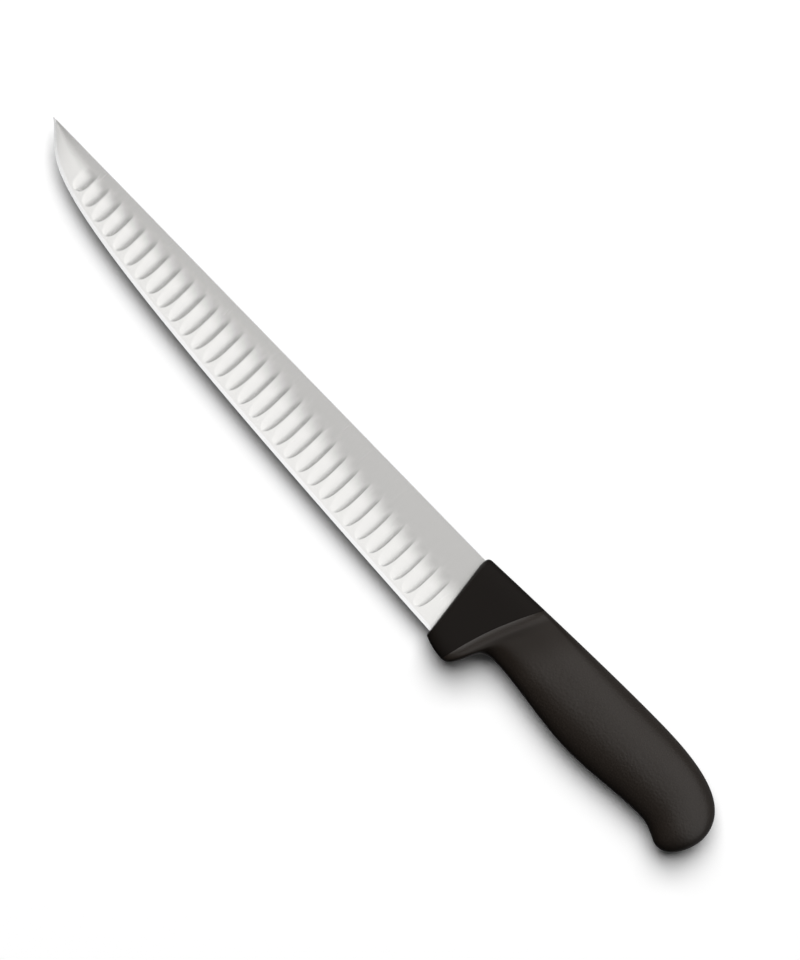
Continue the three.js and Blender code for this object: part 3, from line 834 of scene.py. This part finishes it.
def satin_steel(finish):
    """Stainless steel, satin ground across the blade: soft reflections, some scattered light, and painted
    light in its colour: grey painted shade along the spine, bright painted sheen towards the edge, and a
    white painted highlight on the bevel."""
    material, tree, shader, spot = new_material("satin stainless steel")
    strokes = add(tree, "ShaderNodeMapping",
                  {"Vector": spot,
                   "Scale": (1 / GRIND_SPACING, 1 / GRIND_STROKE, 1 / GRIND_STROKE)}).outputs[0]
    lines = add(tree, "ShaderNodeTexNoise",
                {"Vector": strokes, "Scale": 1.0, "Detail": 3.0, "Roughness": 0.6}).outputs[0]
    # Painted shade and sheen: down the flutes, the colour turns from the spine's grey steel to the edge's
    # bright steel.
    down = add(tree, "ShaderNodeAttribute", attribute_name="grind").outputs["Fac"]
    ramp = add(tree, "ShaderNodeMapRange", {"Value": down, "From Min": SPINE_SHADE_ABOVE, "From Max": SPINE_SHADE_BELOW},
               interpolation_type="SMOOTHSTEP").outputs[0]
    streak = add(tree, "ShaderNodeMapRange", {"Value": lines, "From Min": 0.3, "From Max": 0.7,
                                              "To Min": -GRIND_STREAK, "To Max": GRIND_STREAK}).outputs[0]
    shade = add(tree, "ShaderNodeMath", {0: ramp, 1: streak}, use_clamp=True).outputs[0]
    flank = add(tree, "ShaderNodeMix", {"Factor": shade, 6: finish.steel_spine_painted_shade, 7: finish.steel_edge_painted_sheen},
                data_type="RGBA").outputs[2]
    # Painted highlight: near the edge the colour turns white.
    near_edge = add(tree, "ShaderNodeAttribute", attribute_name="hone").outputs["Fac"]
    painted_edge_highlight = add(tree, "ShaderNodeMapRange",
                {"Value": near_edge, "From Min": EDGE_HIGHLIGHT_ABOVE, "From Max": EDGE_HIGHLIGHT_BELOW},
                interpolation_type="SMOOTHSTEP").outputs[0]
    painted_light_tint = add(tree, "ShaderNodeMix", {"Factor": painted_edge_highlight, 6: flank, 7: finish.steel_bevel_painted_highlight},
               data_type="RGBA").outputs[2]
    rough = add(tree, "ShaderNodeMapRange", {"Value": lines, **STEEL_ROUGHNESS}).outputs[0]
    bump = add(tree, "ShaderNodeBump",
               {"Height": lines, "Strength": 0.2, "Distance": GRIND_RELIEF}).outputs[0]
    for name, value in {"Base Color": painted_light_tint, "Roughness": rough, "Normal": bump}.items():
        tree.links.new(value, shader.inputs[name])
    shader.inputs["Metallic"].default_value = 0.85
    return material


def core_polymer(finish):
    """Hard black polyamide from a smooth mould: matt, with a faint grain and hardly any highlight."""
    material, tree, shader, spot = new_material("moulded polyamide")
    scaled = add(tree, "ShaderNodeMapping", {"Vector": spot, "Scale": (1 / CORE_GRAIN,) * 3}).outputs[0]
    grain = add(tree, "ShaderNodeTexNoise", {"Vector": scaled, "Scale": 1.0, "Detail": 2.0}).outputs[0]
    rough = add(tree, "ShaderNodeMapRange", {"Value": grain, **CORE_ROUGHNESS}).outputs[0]
    bump = add(tree, "ShaderNodeBump",
               {"Height": grain, "Strength": 0.25, "Distance": CORE_RELIEF}).outputs[0]
    tree.links.new(rough, shader.inputs["Roughness"])
    tree.links.new(bump, shader.inputs["Normal"])
    shader.inputs["Base Color"].default_value = finish.core
    shader.inputs["Specular IOR Level"].default_value = 0.12
    return material


def grip_polymer(finish):
    """Black thermoplastic elastomer from a grained mould: a fine non-slip pebble that spreads the light and
    fades out towards the smooth front lip."""
    material, tree, shader, spot = new_material("grained elastomer")
    scaled = add(tree, "ShaderNodeMapping", {"Vector": spot, "Scale": (1 / GRIP_GRAIN,) * 3}).outputs[0]
    pebble = add(tree, "ShaderNodeTexVoronoi", {"Vector": scaled, "Scale": 1.0},
                 feature="SMOOTH_F1").outputs[0]
    broad = add(tree, "ShaderNodeMapping", {"Vector": spot, "Scale": (1 / GRIP_MOTTLE,) * 3}).outputs[0]
    mottle = add(tree, "ShaderNodeTexNoise", {"Vector": broad, "Scale": 1.0, "Detail": 2.0}).outputs[0]
    behind = add(tree, "ShaderNodeAttribute", attribute_name="behind").outputs["Fac"]
    grained = add(tree, "ShaderNodeMapRange",
                  {"Value": behind, "From Min": GRAIN_START, "From Max": GRAIN_FULL},
                  interpolation_type="SMOOTHSTEP").outputs[0]
    pebbled = add(tree, "ShaderNodeMapRange", {"Value": mottle, **GRIP_ROUGHNESS}).outputs[0]
    rough = add(tree, "ShaderNodeMix", {"Factor": grained, 2: NECK_ROUGHNESS, 3: pebbled}).outputs[0]
    lip = add(tree, "ShaderNodeMapRange",
              {"Value": behind, "From Min": LIP_SHINE, "From Max": LIP_DULL, "To Min": 1.0, "To Max": 0.0},
              interpolation_type="SMOOTHSTEP").outputs[0]
    shine = add(tree, "ShaderNodeMath", {0: grained, 1: lip}, operation="MAXIMUM").outputs[0]
    gloss = add(tree, "ShaderNodeMix", {"Factor": shine, 2: NECK_GLOSS, 3: GRIP_GLOSS}).outputs[0]
    relief = add(tree, "ShaderNodeMix", {"Factor": grained, 2: NECK_BUMP, 3: GRIP_BUMP}).outputs[0]
    bump = add(tree, "ShaderNodeBump",
               {"Height": pebble, "Strength": relief, "Distance": GRIP_RELIEF}).outputs[0]
    for name, value in {"Roughness": rough, "Specular IOR Level": gloss, "Normal": bump}.items():
        tree.links.new(value, shader.inputs[name])
    shader.inputs["Base Color"].default_value = finish.grip
    return material


def floor_finish(stage):
    """Matt white paper, which keeps the knife's shadow and throws back less light than the camera sees."""
    material, tree, shader, spot = new_material("matt white paper")
    scaled = add(tree, "ShaderNodeMapping", {"Vector": spot, "Scale": (1 / PAPER_FIBRE,) * 3}).outputs[0]
    fibre = add(tree, "ShaderNodeTexNoise", {"Vector": scaled, "Scale": 1.0}).outputs[0]
    bump = add(tree, "ShaderNodeBump",
               {"Height": fibre, "Strength": 0.05, "Distance": PAPER_RELIEF}).outputs[0]
    seen = add(tree, "ShaderNodeLightPath").outputs["Is Camera Ray"]
    paper = add(tree, "ShaderNodeMix", {"Factor": seen, 6: stage.bounce, 7: stage.floor},
                data_type="RGBA").outputs[2]
    tree.links.new(bump, shader.inputs["Normal"])
    tree.links.new(paper, shader.inputs["Base Color"])
    shader.inputs["Roughness"].default_value = 0.9
    shader.inputs["Specular IOR Level"].default_value = 0.1
    return material


# Stage

FLOOR_HALF = 3.0  # half of the floor's side
IMAGE_CENTRE = (46.7 * MM, 2.0 * MM)  # the drawing's place in the middle of the picture
IMAGE_HEIGHT = 384 * MM  # at the blade
IMAGE_RIGHT = Vector((-0.6973, -0.7168, 0))  # the knife lies across the picture, tip up and to the left
SENSOR = 36.0

# What gloss shows of the room, by how far a direction leans along X, along Y and up
TIP_GAP = {"From Min": 0.15, "From Max": 0.33, "To Min": 1.0, "To Max": 0.2}
TIP_LIGHT = {"From Min": 0.6, "From Max": 0.76, "To Min": 0.0, "To Max": 2.8}
BEYOND_EDGE = {"From Min": 0.17, "From Max": 0.42, "To Min": 1.0, "To Max": 0.06}
LOW_DOWN = {"From Min": 0.05, "From Max": 0.4, "To Min": 0.15, "To Max": 1.0}


def add_floor(stage):
    """A wide flat floor under the knife, which gloss doesn't show."""
    corners = [(-FLOOR_HALF, -FLOOR_HALF, 0), (FLOOR_HALF, -FLOOR_HALF, 0),
               (FLOOR_HALF, FLOOR_HALF, 0), (-FLOOR_HALF, FLOOR_HALF, 0)]
    floor = new_object("floor", corners, [[0, 1, 2, 3]])
    floor.data.materials.append(floor_finish(stage))
    floor.visible_glossy = False


def add_key_light(stage):
    """One large soft light over the spine side."""
    lamp = bpy.data.lights.new("key", "AREA")
    lamp.energy = stage.key_power
    lamp.size = stage.key_size
    key = bpy.data.objects.new("key", lamp)
    direction = Vector((math.tan(stage.key_turn), -math.tan(stage.key_lean), 1)).normalized()
    key.location = direction * stage.key_distance
    key.rotation_euler = direction.to_track_quat("Z", "Y").to_euler()
    key.visible_glossy = False
    bpy.context.scene.collection.objects.link(key)


def add_world(stage):
    """A white room for the camera, low ambient light, and for gloss a room that is bright over the spine,
    dark beyond the edge and dim low down, with a dark gap towards the tip and a brighter light past it."""
    world = bpy.data.worlds.new("studio")
    world.use_nodes = True
    tree = world.node_tree
    tree.nodes.clear()
    spot = add(tree, "ShaderNodeTexCoord").outputs["Generated"]
    parts = add(tree, "ShaderNodeSeparateXYZ", {0: spot}).outputs
    ramps = []
    for axis, ramp in (("X", TIP_GAP), ("X", TIP_LIGHT), ("Y", BEYOND_EDGE), ("Z", LOW_DOWN)):
        ramps.append(add(tree, "ShaderNodeMapRange", {"Value": parts[axis], **ramp},
                         interpolation_type="SMOOTHSTEP").outputs[0])
    gap, light, beyond, low = ramps
    over = add(tree, "ShaderNodeMath", {0: gap, 1: light}).outputs[0]
    near = add(tree, "ShaderNodeMath", {0: over, 1: beyond}, operation="MULTIPLY").outputs[0]
    lit = add(tree, "ShaderNodeMath", {0: near, 1: low}, operation="MULTIPLY").outputs[0]
    gloss = add(tree, "ShaderNodeMath", {0: lit, 1: stage.room}, operation="MULTIPLY").outputs[0]
    path = add(tree, "ShaderNodeLightPath").outputs
    level = add(tree, "ShaderNodeMix",
                {"Factor": path["Is Glossy Ray"], 2: stage.ambient, 3: gloss}).outputs[0]
    seen = add(tree, "ShaderNodeMath", {0: path["Is Camera Ray"], 1: path["Is Transmission Ray"]},
               operation="MAXIMUM").outputs[0]
    strength = add(tree, "ShaderNodeMix", {"Factor": seen, 2: level, 3: 1.0}).outputs[0]
    background = add(tree, "ShaderNodeBackground", {"Strength": strength})
    add(tree, "ShaderNodeOutputWorld", {"Surface": background.outputs[0]})
    bpy.context.scene.world = world


def add_camera(stage, blade):
    """Looks straight down on the flank, turned so that the knife lies across the picture."""
    data = bpy.data.cameras.new("camera")
    data.sensor_fit = "VERTICAL"
    data.sensor_height = SENSOR
    data.sensor_width = SENSOR
    data.lens = SENSOR * stage.camera_distance / IMAGE_HEIGHT
    camera = bpy.data.objects.new("camera", data)
    up = Vector((0, 0, 1)).cross(IMAGE_RIGHT)
    turned = Matrix((IMAGE_RIGHT, up, (0, 0, 1))).transposed().to_4x4()
    spot = place((*IMAGE_CENTRE, stage.camera_distance), blade)
    camera.matrix_world = Matrix.Translation(Vector(spot)) @ turned
    bpy.context.scene.collection.objects.link(camera)
    bpy.context.scene.camera = camera


# Operators


class KNIFE_OT_blade(bpy.types.Operator):
    """Grind the fluted blade with its tang"""

    bl_idname = "knife.blade"
    bl_label = "Blade"

    def execute(self, context):
        scene = context.scene
        blade = scene.knife_blade
        points, faces = blade_body(blade)
        made = new_object("fluted_blade", place(points, blade), faces)
        steel = satin_steel(scene.knife_finish)
        grind_flutes(made, blade, scene.knife_flutes, steel)
        mark_painted_light_shares(made, blade, scene.knife_flutes)
        finish_piece(made, steel, "blade")
        return {"FINISHED"}


class KNIFE_OT_core(bpy.types.Operator):
    """Mould the core with its cheeks and finger guard"""

    bl_idname = "knife.core"
    bl_label = "Core"

    def execute(self, context):
        scene = context.scene
        points, faces = skin(HandleForm(scene.knife_handle).core_rings())
        made = new_object("collar_and_core", place(points, scene.knife_blade), faces)
        finish_piece(made, core_polymer(scene.knife_finish), "handle_core")
        return {"FINISHED"}


class KNIFE_OT_grip(bpy.types.Operator):
    """Mould the grained grip over the core"""

    bl_idname = "knife.grip"
    bl_label = "Grip"

    def execute(self, context):
        scene = context.scene
        form = HandleForm(scene.knife_handle)
        points, faces = skin(form.grip_rings())
        made = new_object("grained_grip", place(points, scene.knife_blade), faces)
        mark_grain(made, scene.knife_blade, form)
        finish_piece(made, grip_polymer(scene.knife_finish), "handle_grip")
        return {"FINISHED"}


class KNIFE_OT_stage(bpy.types.Operator):
    """Set the floor, the light and the camera"""

    bl_idname = "knife.stage"
    bl_label = "Stage"

    def execute(self, context):
        scene = context.scene
        add_floor(scene.knife_stage)
        add_key_light(scene.knife_stage)
        add_world(scene.knife_stage)
        add_camera(scene.knife_stage, scene.knife_blade)
        scene.view_settings.view_transform = "Standard"
        return {"FINISHED"}


class KNIFE_PT_sidebar(bpy.types.Panel):
    """Lists the knife's pieces"""

    bl_label = "Sticking Knife"
    bl_space_type = "VIEW_3D"
    bl_region_type = "UI"
    bl_category = "Knife"

    def draw(self, context):
        for operator in OPERATORS:
            self.layout.operator(operator.bl_idname)


GROUPS = {
    "knife_blade": KNIFE_PG_blade,
    "knife_flutes": KNIFE_PG_flutes,
    "knife_handle": KNIFE_PG_handle,
    "knife_finish": KNIFE_PG_finish,
    "knife_stage": KNIFE_PG_stage,
}
OPERATORS = (KNIFE_OT_blade, KNIFE_OT_core, KNIFE_OT_grip, KNIFE_OT_stage)


def register():
    for name, group in GROUPS.items():
        bpy.utils.register_class(group)
        setattr(bpy.types.Scene, name, PointerProperty(type=group))
    for kind in (*OPERATORS, KNIFE_PT_sidebar):
        bpy.utils.register_class(kind)


def unregister():
    for kind in (KNIFE_PT_sidebar, *reversed(OPERATORS)):
        bpy.utils.unregister_class(kind)
    for name, group in reversed(GROUPS.items()):
        delattr(bpy.types.Scene, name)
        bpy.utils.unregister_class(group)


def main():
    register()
    bpy.ops.knife.blade()
    bpy.ops.knife.core()
    bpy.ops.knife.grip()
    bpy.ops.knife.stage()


if __name__ == "__main__":
    main()
